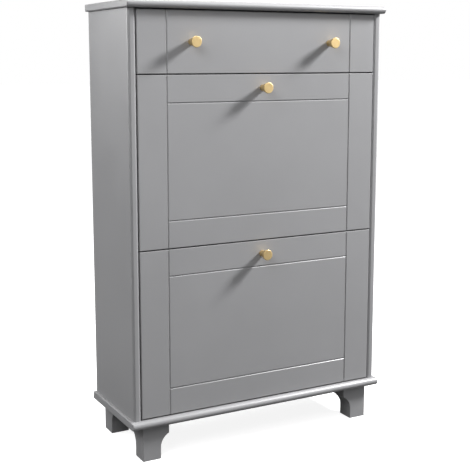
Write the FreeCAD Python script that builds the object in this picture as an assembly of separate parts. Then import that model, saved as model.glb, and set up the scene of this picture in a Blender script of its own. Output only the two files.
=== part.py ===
import FreeCAD, Part
import math
import os

# Shoe cabinet: a painted board carcass on four bracket feet, with one shallow
# drawer on roller runners above two tip-out flaps that hold two rows of shoes
# each.  +X is to the right, +Y to the back, +Z up.  While the pieces are made,
# Y is counted from the face of the fronts; write() moves them all at the end so
# that the origin lies on the floor in the middle of the whole cabinet.

# ---- overall sizes, in millimetres ------------------------------------------
overall_height = 1000.0
carcass_width = 640.0        # over the outer faces of the two side panels
carcass_depth = 230.0        # face of the fronts to the back edge of the sides

# ---- boards -------------------------------------------------------------------
side_thick = 18.0
top_thick = 16.0
base_thick = 18.0
divider_thick = 16.0
front_thick = 16.0
cheek_thick = 12.0
shelf_thick = 12.0
drawer_board = 12.0
hardboard = 3.0

# ---- overhangs of the top and the base ------------------------------------------
top_front_overhang = 14.0
top_side_overhang = 6.0
top_back_overhang = 7.0
base_front_overhang = 13.0
base_side_overhang = 7.0
base_back_overhang = 5.0
corner_round = 5.0           # plan rounding of the top's and the base's corners
side_edge_round = 6.0        # both front edges of a side panel

# ---- bracket feet ------------------------------------------------------------------
foot_height = 79.0
foot_bottom = 43.0           # square at the floor
foot_top = 63.0              # square under the base
foot_lip = 22.0              # straight part under the base
foot_arc_radius = 34.0
foot_front_inset = 3.0       # behind the face of the fronts
foot_side_inset = 22.0       # inside the outer faces of the side panels

# ---- fronts ---------------------------------------------------------------------------
front_gap = 2.5              # above, below and between the fronts
side_gap = 1.5               # beside the fronts
drawer_front_height = 133.0
edge_round = 1.5
stile_width = 67.5           # flap edge to the upright groove
rail_width = 59.5            # flap edge to the level groove
groove_width = 4.0
groove_depth = 2.0

# ---- knobs ----------------------------------------------------------------------------
knob_length = 27.0
knob_root_radius = 7.2
knob_face_radius = 12.0
knob_edge_round = 1.0
drawer_knob_offset = 175.5   # from the middle of the drawer front
knob_screw_radius = 2.0
knob_screw_reach = 12.0      # length of the screw inside the knob
knob_screw_head = 3.8
knob_screw_head_height = 2.4

# ---- tip-out flaps ----------------------------------------------------------------------
flap_open_angle = 42.0
pivot_rise = 14.0            # pivot above the flap's lower edge
pivot_pin_radius = 2.5
pivot_pin_in_flap = 22.0
pivot_pin_in_side = 11.0
bush_radius = 4.0
bush_recess = 1.5            # bush below the side panel's inner face
bush_length = 12.0
running_clearance = 0.05
cheek_inset = 2.0            # cheek inside the flap's end
cheek_below_pivot = 6.0
cheek_back_clearance = 18.0  # cheek to the back panel
swing_clearance = 6.0        # cheek's top arc to the panel above it
stop_slot_radius = 150.0
stop_pin_angle = 75.0        # closed place of the stop pin, above level
stop_pin_radius = 4.0
stop_pin_play = 0.3
stop_pin_end_gap = 1.0       # pin's end to the cheek's inner face
row_height = 165.0           # lower shelf to upper shelf
rail_height = 30.0
lower_rail_rise = 75.0       # rail's middle above the shelf's middle
upper_rail_rise = 62.0

# ---- panels inside ---------------------------------------------------------------------
middle_divider_drop = 4.0    # top of the middle divider below the upper flap
drawer_divider_rise = 7.5    # top of the drawer divider above the drawer front
divider_setback = 2.0        # divider's front edge behind the fronts

# ---- drawer -------------------------------------------------------------------------------
runner_space = 12.7          # side panel to drawer side
drawer_side_height = 100.0
drawer_lift = 8.0            # drawer box above the drawer divider
drawer_back_clearance = 19.0
drawer_bottom_rise = 8.0
drawer_groove_depth = 5.0
fit_gap = 0.2                # loose fit of a board in its groove

# ---- roller runners -----------------------------------------------------------------------
sheet = 1.2
roller_radius = 10.0
roller_width = 7.5
roller_axle_radius = 2.5
roller_gap = 0.3             # roller to the track it runs along
runner_lip = 10.7            # width of the cabinet runner over its flanges
runner_rise = 26.0           # runner's middle above the drawer side's lower edge
runner_setback = 4.0         # runner's end behind the drawer front
front_roller_gap = 2.0       # front roller behind the drawer front
rear_roller_inset = 9.0      # rear roller before the drawer's back end
runner_back_gap = 10.0       # cabinet runner's end before the back panel
roller_side_gap = 1.5        # roller to the upright of its runner
runner_screw_radius = 1.7
runner_screw_length = 12.0
runner_screw_head = 3.3
runner_screw_head_height = 0.7

# ---- fittings -------------------------------------------------------------------------------
bolt_radius = 2.5
bolt_thread_radius = 3.0
bolt_thread_length = 11.0
bolt_head_radius = 3.2
bolt_head_length = 5.0
cam_radius = 7.5
cam_distance = 24.0          # cam's middle from the board's edge
cam_height = 10.0
cam_slot = 1.2
hole_clearance = 0.1
dowel_radius = 4.0
dowel_in_face = 11.0
dowel_in_edge = 19.0
fixing_inset = 45.0          # first fixing from a board's end
dowel_step = 32.0            # dowel beyond the fixing
screw_radius = 2.0
screw_head_radius = 4.0
foot_screw_length = 45.0
board_screw_length = 40.0
nail_radius = 0.7
nail_length = 20.0
nail_head_radius = 2.0
nail_head_height = 0.8
nail_pitch = 110.0
bracket_offset = 200.0       # wall bracket from the middle
bracket_width = 30.0
bracket_leg = 25.0
bracket_drop = 34.0
bracket_sheet = 2.0
bracket_hole_radius = 2.75
bracket_hole_drop = 18.0
bracket_collar_radius = 4.5  # drawn collar that stands in the back panel
bracket_collar_gap = 0.5     # collar to the edge of the back panel's hole
bracket_screw_radius = 1.75
bracket_screw_length = 12.0
bracket_screw_head_height = 2.0

# ---- places that follow from the sizes ---------------------------------------------
top_under = overall_height - top_thick
base_top = foot_height + base_thick
half_width = carcass_width / 2
inner_half = half_width - side_thick
front_half = inner_half - side_gap
flap_height = (top_under - base_top - drawer_front_height - 4 * front_gap) / 2
lower_flap_z = base_top + front_gap
upper_flap_z = lower_flap_z + flap_height + front_gap
drawer_front_z = upper_flap_z + flap_height + front_gap
middle_divider_top = upper_flap_z - middle_divider_drop
drawer_divider_top = drawer_front_z + drawer_divider_rise
divider_front = front_thick + divider_setback
pivot_depth = front_thick / 2
cheek_outer = front_half - cheek_inset
cheek_inner = cheek_outer - cheek_thick
cheek_back = carcass_depth - cheek_back_clearance
swing_radius = min(
    middle_divider_top - divider_thick - lower_flap_z - pivot_rise,
    drawer_divider_top - divider_thick - upper_flap_z - pivot_rise,
) - swing_clearance
drawer_outer = inner_half - runner_space
drawer_inner = drawer_outer - drawer_board
drawer_back = carcass_depth - drawer_back_clearance
drawer_z = drawer_divider_top + drawer_lift
runner_z = drawer_z + runner_rise
runner_front = front_thick + runner_setback
front_roller_place = front_thick + front_roller_gap + roller_radius
back_face = carcass_depth + hardboard
origin_shift = (knob_length - carcass_depth - top_back_overhang) / 2

X = FreeCAD.Vector(1, 0, 0)
Y = FreeCAD.Vector(0, 1, 0)
Z = FreeCAD.Vector(0, 0, 1)


def point(x, y, z):
    return FreeCAD.Vector(x, y, z)


def box(x_range, y_range, z_range):
    """A board between two places on each axis, given in either order."""
    low = [min(pair) for pair in (x_range, y_range, z_range)]
    size = [abs(pair[1] - pair[0]) for pair in (x_range, y_range, z_range)]
    return Part.makeBox(*size, FreeCAD.Vector(*low))


def rod(start, along, radius, length):
    return Part.makeCylinder(radius, length, start, along)


def prism(outline, along):
    """The solid swept by a closed outline of edges or points along a vector."""
    if isinstance(outline[0], FreeCAD.Vector):
        wire = Part.makePolygon(outline + [outline[0]])
    else:
        wire = Part.Wire(outline)
    return Part.Face(wire).extrude(along)


def line(start, end):
    return Part.LineSegment(start, end).toShape()


def arc(start, middle, end):
    return Part.Arc(start, middle, end).toShape()


def mirrored(shape):
    """The same piece on the other side of the cabinet."""
    return shape.mirror(point(0, 0, 0), X)


def both_sides(shapes):
    return list(shapes) + [mirrored(shape) for shape in shapes]


def cut_all(body, tools):
    return body.cut(tools) if tools else body


pieces = {}


def keep(name, solids):
    """Remember one node: a single solid or a group of like solids."""
    group = solids if isinstance(solids, list) else [solids]
    pieces[name] = pieces.get(name, []) + group


# ---- fixings: each returns the solids and the holes they need ------------------------
def wood_screw(head, along, length, radius=screw_radius, head_radius=screw_head_radius):
    """A countersunk screw whose flat head lies flush at the point head."""
    taper = head_radius - radius
    cone = Part.makeCone(head_radius, radius, taper, head, along)
    shank = rod(head + along * taper, along, radius, length - taper)
    wider = Part.makeCone(
        head_radius + hole_clearance, radius + hole_clearance, taper, head, along
    )
    hole = rod(head, along, radius + hole_clearance, length + hole_clearance)
    return cone.fuse(shank).removeSplitter(), wider.fuse(hole)


def pan_screw(seat, along, length, radius, head_radius, head_height):
    """A screw whose round head stands on the surface at the point seat."""
    head = rod(seat - along * head_height, along, head_radius, head_height)
    shank = rod(seat, along, radius, length)
    hole = rod(seat, along, radius + hole_clearance, length + hole_clearance)
    return head.fuse(shank), hole


def dowel(seam, along):
    """A wooden pin from a board's face, at seam, into the next board's edge."""
    start = seam - along * dowel_in_face
    length = dowel_in_face + dowel_in_edge
    pin = rod(start, along, dowel_radius, length)
    hole = rod(
        start - along * hole_clearance,
        along,
        dowel_radius + hole_clearance,
        length + 2 * hole_clearance,
    )
    return pin, hole


def cam_joint(seam, along, into, half_board):
    """A bolt in one board's face and the cam in the next board that pulls it tight.

    seam is where the bolt crosses the joint, along points into the second board,
    and into points from that board's open face, half_board away, to the bolt.
    """
    mouth = seam + along * cam_distance - into * half_board
    head_start = cam_distance - bolt_head_length / 2
    thread = rod(seam - along * bolt_thread_length, along, bolt_thread_radius, bolt_thread_length)
    shank = rod(seam, along, bolt_radius, head_start)
    head = rod(seam + along * head_start, along, bolt_head_radius, bolt_head_length)
    bolt = thread.fuse([shank, head]).removeSplitter()
    passage = rod(
        seam, along, bolt_head_radius + hole_clearance, cam_distance + bolt_head_length
    )
    slot_side = into.cross(along)
    slot_start = mouth - slot_side * cam_radius - along * (cam_slot / 2)
    slot = prism(
        [
            slot_start,
            slot_start + slot_side * (2 * cam_radius),
            slot_start + slot_side * (2 * cam_radius) + along * cam_slot,
            slot_start + along * cam_slot,
        ],
        into * cam_slot,
    )
    cam = rod(mouth, into, cam_radius, cam_height).cut([passage, slot])
    face_hole = rod(
        seam - along * (bolt_thread_length + hole_clearance),
        along,
        bolt_thread_radius + hole_clearance,
        bolt_thread_length + hole_clearance,
    )
    pocket = rod(mouth, into, cam_radius + hole_clearance, cam_height + hole_clearance)
    return [bolt, cam], face_hole, pocket.fuse(passage)


# ---- carcass: places of its fixings ---------------------------------------------------
cuts = {name: [] for name in ("top", "base", "side", "drawer_divider", "middle_divider", "back")}
cam_fittings = []
dowels = []
fixing_depths = (fixing_inset, carcass_depth - fixing_inset)
dowel_depths = (fixing_inset + dowel_step, carcass_depth - fixing_inset - dowel_step)
side_middle = half_width - side_thick / 2

for face_name, seam_z, upright in (("top", top_under, -Z), ("base", base_top, Z)):
    for depth in fixing_depths:
        fitting, face_hole, edge_hole = cam_joint(
            point(side_middle, depth, seam_z), upright, X, side_thick / 2
        )
        cam_fittings += both_sides(fitting)
        cuts[face_name] += both_sides([face_hole])
        cuts["side"].append(edge_hole)
    for depth in dowel_depths:
        pin, hole = dowel(point(side_middle, depth, seam_z), upright)
        dowels += both_sides([pin])
        cuts[face_name] += both_sides([hole])
        cuts["side"].append(hole)

for name, panel_top in (
    ("drawer_divider", drawer_divider_top),
    ("middle_divider", middle_divider_top),
):
    middle = panel_top - divider_thick / 2
    for depth in fixing_depths:
        fitting, face_hole, edge_hole = cam_joint(
            point(inner_half, depth, middle), -X, Z, divider_thick / 2
        )
        cam_fittings += both_sides(fitting)
        cuts["side"].append(face_hole)
        cuts[name] += both_sides([edge_hole])
    for depth in dowel_depths:
        pin, hole = dowel(point(inner_half, depth, middle), -X)
        dowels += both_sides([pin])
        cuts["side"].append(hole)
        cuts[name] += both_sides([hole])

keep("cam_fittings", cam_fittings)
keep("dowels", dowels)


# ---- carcass: nails of the back panel ----------------------------------------------
def back_nail(x, z):
    shank_start = point(x, back_face - nail_length, z)
    shank = rod(shank_start, Y, nail_radius, nail_length)
    head = rod(point(x, back_face, z), Y, nail_head_radius, nail_head_height)
    hole = rod(shank_start - Y * hole_clearance, Y, nail_radius + hole_clearance, nail_length)
    return shank.fuse(head), hole


def spread(low, high, pitch):
    """Places from low to high at even steps no longer than pitch."""
    steps = max(1, math.ceil((high - low) / pitch))
    return [low + (high - low) * step / steps for step in range(steps + 1)]


nail_places = {"side": [], "drawer_divider": [], "middle_divider": []}
for z in spread(base_top + fixing_inset / 2, top_under - fixing_inset / 2, nail_pitch):
    nail_places["side"].append((side_middle, z))
for x in spread(-inner_half + fixing_inset, inner_half - fixing_inset, nail_pitch):
    nail_places["drawer_divider"].append((x, drawer_divider_top - divider_thick / 2))
    nail_places["middle_divider"].append((x, middle_divider_top - divider_thick / 2))
for name, places in nail_places.items():
    for x, z in places:
        nail, hole = back_nail(x, z)
        together = both_sides if name == "side" else list
        keep("back_panel_nails", together([nail]))
        cuts[name].append(hole)
        cuts["back"] += together([hole.translated(Y * hole_clearance)])


# ---- carcass: bracket feet, each with two screws down through the base ---------------
def foot_profile(outer, inward, across):
    """The bracket outline from the floor up, with its hollow on the inner side."""
    def at(reach, z):
        return outer + inward * reach + Z * z

    arc_start = foot_height - foot_lip
    flare = foot_top - foot_bottom
    centre = foot_bottom + foot_arc_radius
    arc_foot = arc_start - math.sqrt(foot_arc_radius ** 2 - (foot_arc_radius - flare) ** 2)
    half_turn = math.acos((foot_arc_radius - flare) / foot_arc_radius) / 2
    middle = at(
        centre - foot_arc_radius * math.cos(half_turn),
        arc_foot + foot_arc_radius * math.sin(half_turn),
    )
    edges = [
        line(at(0, 0), at(foot_bottom, 0)),
        line(at(foot_bottom, 0), at(foot_bottom, arc_foot)),
        arc(at(foot_bottom, arc_foot), middle, at(foot_top, arc_start)),
        line(at(foot_top, arc_start), at(foot_top, foot_height)),
        line(at(foot_top, foot_height), at(0, foot_height)),
        line(at(0, foot_height), at(0, 0)),
    ]
    return prism(edges, across * foot_top)


foot_x = half_width - foot_side_inset
foot_front = foot_front_inset
foot_back = carcass_depth + base_back_overhang
for row, corner_y, inward in (("front", foot_front, Y), ("rear", foot_back, -Y)):
    corner = point(foot_x, corner_y, 0)
    foot = foot_profile(corner, -X, inward).common(foot_profile(corner, inward, -X))
    near = foot_bottom / 3
    for reach_x, reach_y in ((near, 2 * near), (2 * near, near)):
        head = corner - X * reach_x + inward * reach_y + Z * base_top
        screw, hole = wood_screw(head, -Z, foot_screw_length)
        keep("foot_screws", both_sides([screw]))
        cuts["base"] += both_sides([hole])
        foot = foot.cut(hole)
    keep("%s_right_foot" % row, foot)
    keep("%s_left_foot" % row, mirrored(foot))


# ---- carcass: brackets that fasten the cabinet to the wall ------------------------
for x in (-bracket_offset, bracket_offset):
    across = (x - bracket_width / 2, x + bracket_width / 2)
    level = box(
        across,
        (carcass_depth - bracket_leg, carcass_depth),
        (top_under - bracket_sheet, top_under),
    )
    upright = box(
        across,
        (carcass_depth - bracket_sheet, carcass_depth),
        (top_under - bracket_drop, top_under),
    )
    hole_z = top_under - bracket_hole_drop
    hole_start = point(x, carcass_depth - bracket_sheet, hole_z)
    collar = rod(hole_start, Y, bracket_collar_radius, bracket_sheet + hardboard)
    wall_hole = rod(hole_start - Y, Y, bracket_hole_radius, bracket_sheet + hardboard + 2)
    bracket = level.fuse([upright, collar]).removeSplitter().cut(wall_hole)
    back_hole_radius = bracket_collar_radius + bracket_collar_gap
    cuts["back"].append(rod(hole_start, Y, back_hole_radius, bracket_sheet + hardboard + 1))
    for side in (-1, 1):
        seat = point(
            x + side * bracket_width / 4,
            carcass_depth - bracket_leg / 2,
            top_under - bracket_sheet,
        )
        screw, hole = pan_screw(
            seat,
            Z,
            bracket_screw_length,
            bracket_screw_radius,
            2 * bracket_screw_radius,
            bracket_screw_head_height,
        )
        keep("wall_bracket_screws", [screw])
        bracket = bracket.cut(hole)
        cuts["top"].append(hole)
    keep("wall_brackets", [bracket])


# ---- carcass: bushes and stop pins of the two flaps -----------------------------------
def flap_pivot(flap_z):
    return point(0, pivot_depth, flap_z + pivot_rise)


for flap_z in (lower_flap_z, upper_flap_z):
    pivot = flap_pivot(flap_z)
    bush_start = pivot + X * (inner_half + bush_recess)
    pin_hole = rod(bush_start, X, pivot_pin_radius + running_clearance, bush_length - 1)
    bush = rod(bush_start, X, bush_radius, bush_length).cut(pin_hole)
    keep("flap_pivot_bushes", both_sides([bush]))
    cuts["side"].append(rod(pivot + X * inner_half, X, bush_radius, bush_recess + bush_length))
    angle = math.radians(stop_pin_angle)
    stop_centre = pivot + point(
        0, stop_slot_radius * math.cos(angle), stop_slot_radius * math.sin(angle)
    )
    pin_start = stop_centre + X * (cheek_inner + stop_pin_end_gap)
    pin_length = inner_half + side_thick / 2 - cheek_inner - stop_pin_end_gap
    keep("flap_stop_pins", both_sides([rod(pin_start, X, stop_pin_radius, pin_length)]))
    cuts["side"].append(rod(pin_start, X, stop_pin_radius, pin_length))


# ---- roller runners of the drawer -------------------------------------------------------
roller_outer = inner_half - sheet - roller_side_gap
runner_inner = inner_half - runner_lip
cabinet_runner_back = carcass_depth - runner_back_gap
track_z = runner_z - roller_radius - roller_gap
flange_z = runner_z + roller_radius + roller_gap
rear_roller_place = drawer_back - rear_roller_inset


def level_strip(outer, inner, front, back, z):
    return box((inner, outer), (front, back), (z, z + sheet))


def roller(depth):
    body = rod(point(roller_outer - roller_width, depth, runner_z), X, roller_radius, roller_width)
    return body.cut(
        rod(
            point(roller_outer - 2 * roller_width, depth, runner_z),
            X,
            roller_axle_radius + running_clearance,
            3 * roller_width,
        )
    )


cabinet_runner = box(
    (inner_half - sheet, inner_half),
    (runner_front, cabinet_runner_back),
    (track_z - sheet, flange_z + 3 * sheet + roller_gap),
).fuse(
    [
        level_strip(inner_half, runner_inner, runner_front, cabinet_runner_back, track_z - sheet),
        level_strip(
            inner_half,
            runner_inner,
            front_roller_place + 2 * roller_radius,
            cabinet_runner_back,
            flange_z + 2 * sheet + roller_gap,
        ),
        rod(
            point(roller_outer - roller_width - roller_gap, front_roller_place, runner_z),
            X,
            roller_axle_radius,
            roller_width + inner_half - roller_outer + roller_gap - sheet / 2,
        ),
    ]
).removeSplitter()
for depth in spread(
    front_roller_place + 2 * fixing_inset / 3 + roller_radius,
    cabinet_runner_back - fixing_inset / 2,
    nail_pitch,
):
    screw, hole = pan_screw(
        point(inner_half - sheet, depth, runner_z),
        X,
        runner_screw_length,
        runner_screw_radius,
        runner_screw_head,
        runner_screw_head_height,
    )
    keep("cabinet_runner_screws", both_sides([screw]))
    cabinet_runner = cabinet_runner.cut(hole)
    cuts["side"].append(hole)
keep("right_cabinet_runner", cabinet_runner)
keep("left_cabinet_runner", mirrored(cabinet_runner))
keep("right_cabinet_roller", roller(front_roller_place))
keep("left_cabinet_roller", mirrored(roller(front_roller_place)))

drawer_runner = box(
    (drawer_outer, drawer_outer + sheet),
    (runner_front, rear_roller_place + roller_axle_radius * 2),
    (runner_z - roller_axle_radius * 2, flange_z + sheet),
).fuse(
    [
        level_strip(
            inner_half - sheet - roller_gap * 2,
            drawer_outer,
            runner_front,
            rear_roller_place - roller_radius - sheet,
            flange_z,
        ),
        rod(
            point(drawer_outer + sheet / 2, rear_roller_place, runner_z),
            X,
            roller_axle_radius,
            roller_outer - drawer_outer - sheet / 2 + roller_gap,
        ),
    ]
).removeSplitter()
drawer_side_cuts = []
for depth in (
    front_thick + cam_distance + cam_radius + fixing_inset / 2,
    rear_roller_place - roller_radius - fixing_inset / 2,
):
    screw, hole = pan_screw(
        point(drawer_outer + sheet, depth, runner_z),
        -X,
        drawer_board - sheet,
        runner_screw_radius,
        runner_screw_head,
        runner_screw_head_height,
    )
    keep("drawer_runner_screws", both_sides([screw]))
    drawer_runner = drawer_runner.cut(hole)
    drawer_side_cuts.append(hole)
keep("right_drawer_runner", drawer_runner)
keep("left_drawer_runner", mirrored(drawer_runner))
keep("right_drawer_roller", roller(rear_roller_place))
keep("left_drawer_roller", mirrored(roller(rear_roller_place)))


# ---- carcass: the boards themselves -------------------------------------------------
def bullnose_board(half_length, front, back, low, thick):
    """A level board with a full round along its front edge and rounded front corners."""
    radius = thick / 2
    high = low + thick
    section = [
        line(point(0, back, low), point(0, front + radius, low)),
        arc(
            point(0, front + radius, low),
            point(0, front, low + radius),
            point(0, front + radius, high),
        ),
        line(point(0, front + radius, high), point(0, back, high)),
        line(point(0, back, high), point(0, back, low)),
    ]
    board = prism(section, X * (2 * half_length)).translated(X * -half_length)
    outline = box((-half_length, half_length), (front, back), (low, high))
    corners = [edge for edge in outline.Edges if edge.BoundBox.ZLength > thick / 2]
    return board.common(outline.makeFillet(corner_round, corners))


keep(
    "top_panel",
    cut_all(
        bullnose_board(
            half_width + top_side_overhang,
            -top_front_overhang,
            carcass_depth + top_back_overhang,
            top_under,
            top_thick,
        ),
        cuts["top"],
    ),
)
keep(
    "base_panel",
    cut_all(
        bullnose_board(
            half_width + base_side_overhang,
            -base_front_overhang,
            carcass_depth + base_back_overhang,
            foot_height,
            base_thick,
        ),
        cuts["base"],
    ),
)

side_board = box((inner_half, half_width), (0, carcass_depth), (base_top, top_under))
front_edges = [
    edge
    for edge in side_board.Edges
    if edge.BoundBox.ZLength > side_thick and edge.BoundBox.YMax < carcass_depth / 2
]
side_panel = cut_all(side_board.makeFillet(side_edge_round, front_edges), cuts["side"])
keep("right_side_panel", side_panel)
keep("left_side_panel", mirrored(side_panel))

for name, panel_top in (
    ("drawer_divider", drawer_divider_top),
    ("middle_divider", middle_divider_top),
):
    board = box(
        (-inner_half, inner_half),
        (divider_front, carcass_depth),
        (panel_top - divider_thick, panel_top),
    )
    keep(name, cut_all(board, cuts[name]))

back_panel = box(
    (-half_width + hardboard, half_width - hardboard),
    (carcass_depth, back_face),
    (base_top + fit_gap, top_under - fit_gap),
)
keep("back_panel", cut_all(back_panel, cuts["back"]))


# ---- fronts ----------------------------------------------------------------------------
def front_board(low, high):
    """A front with its face edges eased."""
    board = box((-front_half, front_half), (0, front_thick), (low, high))
    face_edges = [edge for edge in board.Edges if edge.BoundBox.YMax < edge_round]
    return board.makeFillet(edge_round, face_edges)


def groove(start, end, across):
    """A V cut into the face from start to end."""
    half = across * (groove_width / 2)
    over = Y * groove_depth
    lead = Y * edge_round
    triangle = [
        start - half - lead - half * (edge_round / groove_depth),
        start + over,
        start + half - lead + half * (edge_round / groove_depth),
    ]
    return prism(triangle, end - start)


def upright_grooves(low, high):
    x = front_half - stile_width
    return [groove(point(side * x, 0, low), point(side * x, 0, high), X) for side in (-1, 1)]


def knob(x, z):
    """A turned knob that widens from its root to its flat face."""
    profile = [
        line(point(0, 0, 0), point(knob_root_radius, 0, 0)),
        line(
            point(knob_root_radius, 0, 0),
            point(knob_face_radius, -knob_length + knob_edge_round, 0),
        ),
        line(
            point(knob_face_radius, -knob_length + knob_edge_round, 0),
            point(knob_face_radius - knob_edge_round, -knob_length, 0),
        ),
        line(point(knob_face_radius - knob_edge_round, -knob_length, 0), point(0, -knob_length, 0)),
        line(point(0, -knob_length, 0), point(0, 0, 0)),
    ]
    solid = Part.Face(Part.Wire(profile)).revolve(point(0, 0, 0), Y, 360)
    seat = point(x, front_thick, z)
    screw, hole = pan_screw(
        seat,
        -Y,
        front_thick + knob_screw_reach,
        knob_screw_radius,
        knob_screw_head,
        knob_screw_head_height,
    )
    return solid.translated(point(x, 0, z)).cut(hole), screw, hole


# ---- drawer ------------------------------------------------------------------------------
drawer_front_top = drawer_front_z + drawer_front_height
drawer_top = drawer_z + drawer_side_height
bottom_z = drawer_z + drawer_bottom_rise
drawer_front = front_board(drawer_front_z, drawer_front_top)
drawer_front = drawer_front.cut(upright_grooves(drawer_front_z - 1, drawer_front_top + 1))
drawer_side = box((drawer_inner, drawer_outer), (front_thick, drawer_back), (drawer_z, drawer_top))
drawer_side = drawer_side.cut(drawer_side_cuts)

for z in (bottom_z + hardboard + 2 * cam_radius, drawer_top - 2 * cam_radius):
    fitting, face_hole, edge_hole = cam_joint(
        point(drawer_outer - drawer_board / 2, front_thick, z), Y, X, drawer_board / 2
    )
    keep("drawer_cam_fittings", both_sides(fitting))
    drawer_front = drawer_front.cut(both_sides([face_hole]))
    drawer_side = drawer_side.cut(edge_hole)

bottom_groove = box(
    (-drawer_inner - drawer_groove_depth, drawer_inner + drawer_groove_depth),
    (front_thick - drawer_groove_depth, drawer_back),
    (bottom_z, bottom_z + hardboard + fit_gap),
)
drawer_bottom = box(
    (-drawer_inner - drawer_groove_depth + fit_gap, drawer_inner + drawer_groove_depth - fit_gap),
    (front_thick - drawer_groove_depth + fit_gap, drawer_back),
    (bottom_z, bottom_z + hardboard),
)
drawer_back_board = box(
    (-drawer_inner, drawer_inner),
    (drawer_back - drawer_board, drawer_back),
    (bottom_z + hardboard + fit_gap, drawer_top),
)
for z in (bottom_z + drawer_side_height / 4, drawer_top - drawer_side_height / 4):
    head = point(drawer_outer, drawer_back - drawer_board / 2, z)
    screw, hole = wood_screw(head, -X, board_screw_length)
    keep("drawer_back_screws", both_sides([screw]))
    drawer_side = drawer_side.cut(hole)
    drawer_back_board = drawer_back_board.cut(both_sides([hole]))
for side in (-1, 1):
    handle, screw, hole = knob(side * drawer_knob_offset, (drawer_front_z + drawer_front_top) / 2)
    drawer_front = drawer_front.cut(hole)
    keep("drawer_knobs", [handle])
    keep("drawer_knob_screws", [screw])

keep("drawer_front", drawer_front.cut(bottom_groove))
drawer_side = drawer_side.cut(bottom_groove)
keep("right_drawer_side", drawer_side)
keep("left_drawer_side", mirrored(drawer_side))
keep("drawer_back", drawer_back_board)
keep("drawer_bottom", drawer_bottom)


# ---- tip-out flaps --------------------------------------------------------------------
def from_pivot(pivot, radius, degrees):
    angle = math.radians(degrees)
    return pivot + point(0, radius * math.cos(angle), radius * math.sin(angle))


def cheek_board(pivot):
    """A flap's side board, whose round top passes under the panel above it."""
    start = pivot + X * cheek_inner
    front = front_thick - pivot_depth
    back = cheek_back - pivot_depth
    low_front = start + point(0, front, -cheek_below_pivot)
    low_back = start + point(0, back, -cheek_below_pivot)
    back_angle = math.degrees(math.acos(back / swing_radius))
    front_angle = math.degrees(math.acos(front / swing_radius))
    high_back = from_pivot(start, swing_radius, back_angle)
    high_front = from_pivot(start, swing_radius, front_angle)
    edges = [
        line(low_front, low_back),
        line(low_back, high_back),
        arc(high_back, from_pivot(start, swing_radius, (back_angle + front_angle) / 2), high_front),
        line(high_front, low_front),
    ]
    return prism(edges, X * cheek_thick)


def stop_slot(pivot):
    """The curved slot that runs along the fixed stop pin as the flap tips out."""
    start = pivot + X * (cheek_inner - 1)
    half = stop_pin_radius + stop_pin_play
    low = stop_pin_angle - flap_open_angle
    middle = (low + stop_pin_angle) / 2
    outer = [from_pivot(start, stop_slot_radius + half, a) for a in (low, middle, stop_pin_angle)]
    inner = [from_pivot(start, stop_slot_radius - half, a) for a in (stop_pin_angle, middle, low)]
    band = prism(
        [arc(*outer), line(outer[2], inner[0]), arc(*inner), line(inner[2], outer[0])],
        X * (cheek_thick + 2),
    )
    ends = [
        rod(from_pivot(start, stop_slot_radius, angle), X, half, cheek_thick + 2)
        for angle in (low, stop_pin_angle)
    ]
    return band.fuse(ends)


def flap(name, flap_z):
    pivot = flap_pivot(flap_z)
    flap_top = flap_z + flap_height
    front = front_board(flap_z, flap_top)
    groove_x = front_half - stile_width
    front = front.cut(upright_grooves(flap_z - 1, flap_top + 1))
    for z in (flap_z + rail_width, flap_top - rail_width):
        front = front.cut(groove(point(-groove_x, 0, z), point(groove_x, 0, z), Z))

    pin_start = pivot + X * (front_half - pivot_pin_in_flap)
    pin_length = pivot_pin_in_flap + side_gap + pivot_pin_in_side
    keep(name + "_pivot_pins", both_sides([rod(pin_start, X, pivot_pin_radius, pin_length)]))
    front = front.cut(both_sides([rod(pin_start, X, pivot_pin_radius, pin_length)]))

    cheek = cheek_board(pivot).cut(stop_slot(pivot))
    fixing_heights = (fixing_inset, swing_radius - 2 * fixing_inset)
    for rise in fixing_heights:
        seam = point(cheek_outer - cheek_thick / 2, front_thick, pivot.z + rise)
        fitting, face_hole, edge_hole = cam_joint(seam, Y, X, cheek_thick / 2)
        keep(name + "_cam_fittings", both_sides(fitting))
        front = front.cut(both_sides([face_hole]))
        cheek = cheek.cut(edge_hole)

    shelf_depth = cheek_back - front_thick
    boards = []
    for rise, board_name in ((0, "_lower_shelf"), (row_height, "_upper_shelf")):
        board = box(
            (-cheek_inner, cheek_inner),
            (front_thick, cheek_back),
            (pivot.z + rise - shelf_thick / 2, pivot.z + rise + shelf_thick / 2),
        )
        screw_depths = (front_thick + shelf_depth / 4, cheek_back - shelf_depth / 4)
        boards.append((board_name, board, [(depth, pivot.z + rise) for depth in screw_depths]))
    for rise in (lower_rail_rise, row_height + upper_rail_rise):
        board = box(
            (-cheek_inner, cheek_inner),
            (cheek_back - shelf_thick, cheek_back),
            (pivot.z + rise - rail_height / 2, pivot.z + rise + rail_height / 2),
        )
        place = (cheek_back - shelf_thick / 2, pivot.z + rise)
        boards.append(("_rear_rails", board, [place]))
    for board_name, board, places in boards:
        for depth, z in places:
            screw, hole = wood_screw(point(cheek_outer, depth, z), -X, board_screw_length)
            keep(name + "_board_screws", both_sides([screw]))
            cheek = cheek.cut(hole)
            board = board.cut(both_sides([hole]))
        keep(name + board_name, [board])

    handle, screw, hole = knob(0, flap_top - rail_width / 2)
    keep(name + "_knob", handle)
    keep(name + "_knob_screw", screw)
    keep(name + "_front", front.cut(hole))
    keep(name + "_right_cheek", cheek)
    keep(name + "_left_cheek", mirrored(cheek))


flap("lower_flap", lower_flap_z)
flap("upper_flap", upper_flap_z)


# ---- files ---------------------------------------------------------------------------------
def write(name, solids):
    shape = solids[0] if len(solids) == 1 else Part.makeCompound(solids)
    shape.translated(Y * origin_shift).exportStep("parts/%s.step" % name)


os.makedirs("parts", exist_ok=True)
for name, solids in sorted(pieces.items()):
    write(name, solids)
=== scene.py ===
import math

import bmesh
import bpy
from mathutils import Matrix, Vector


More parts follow.
